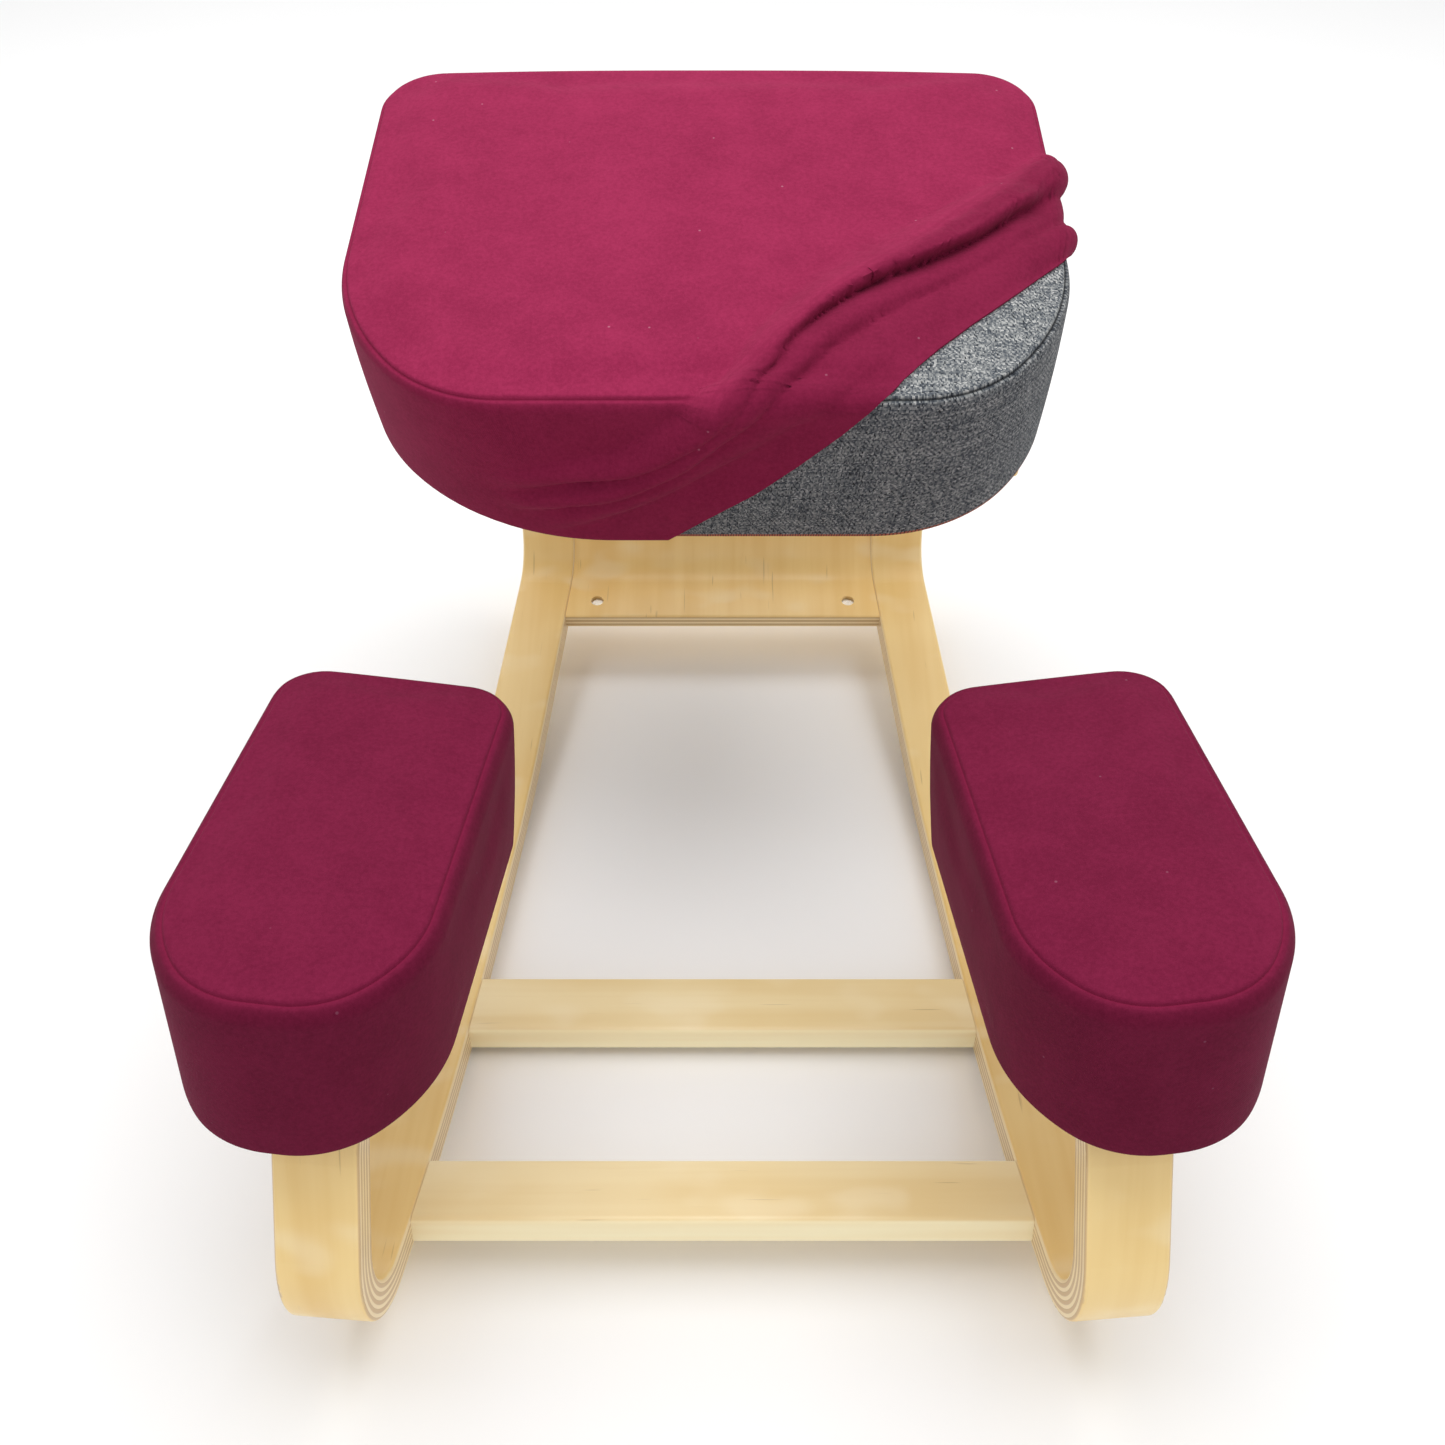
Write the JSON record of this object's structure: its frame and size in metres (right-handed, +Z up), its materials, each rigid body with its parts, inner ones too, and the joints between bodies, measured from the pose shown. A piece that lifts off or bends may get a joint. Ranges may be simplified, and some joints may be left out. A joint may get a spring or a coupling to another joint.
{
  "type": "kneeling chair",
  "caption": "Rocking kneeling chair: bent laminated wood side rails and cross members, a cushioned seat with a pulled-up slipcover, and two cushioned knee pads.",
  "frame": {"origin": "on the floor, under the middle of the overall box", "axes": "+Z up, -Y towards the knee pads (front), +Y towards the seat (rear), X across"},
  "size_m": [0.542, 0.7304, 0.464],
  "materials": {
    "laminated_birch": "satin lacquer",
    "cushion_board": "raw plywood",
    "dowel_wood": "raw",
    "fixing_steel": "zinc plated",
    "foam": "open-cell foam",
    "grey_weave": "coarse two-tone weave",
    "maroon_jersey": "soft stretch cloth",
    "black_lining": "non-woven"
  },
  "bodies": {
    "root": {"front_crossbar": "laminated_birch", "front_crossbar_bolts": "fixing_steel", "front_crossbar_cross_dowels": "fixing_steel", "front_crossbar_pins": "dowel_wood", "knee_pad_bolts": "fixing_steel", "knee_pad_tnuts": "fixing_steel", "knee_pad_washers": "fixing_steel", "left_knee_board": "cushion_board", "left_knee_dust_cover": "black_lining", "left_knee_foam": "foam", "left_knee_slipcover": "maroon_jersey", "left_knee_upholstery": "grey_weave", "left_rail": "laminated_birch", "middle_crossbar": "laminated_birch", "middle_crossbar_bolts": "fixing_steel", "middle_crossbar_cross_dowels": "fixing_steel", "middle_crossbar_pins": "dowel_wood", "rear_cross_panel": "laminated_birch", "rear_cross_panel_bolts": "fixing_steel", "rear_cross_panel_cross_dowels": "fixing_steel", "rear_cross_panel_pins": "dowel_wood", "right_knee_board": "cushion_board", "right_knee_dust_cover": "black_lining", "right_knee_foam": "foam", "right_knee_slipcover": "maroon_jersey", "right_knee_upholstery": "grey_weave", "right_rail": "laminated_birch", "seat_board": "cushion_board", "seat_bolts": "fixing_steel", "seat_dust_cover": "black_lining", "seat_foam": "foam", "seat_slipcover": "maroon_jersey", "seat_tnuts": "fixing_steel", "seat_upholstery": "grey_weave", "seat_washers": "fixing_steel"}
  },
  "joints": []
}
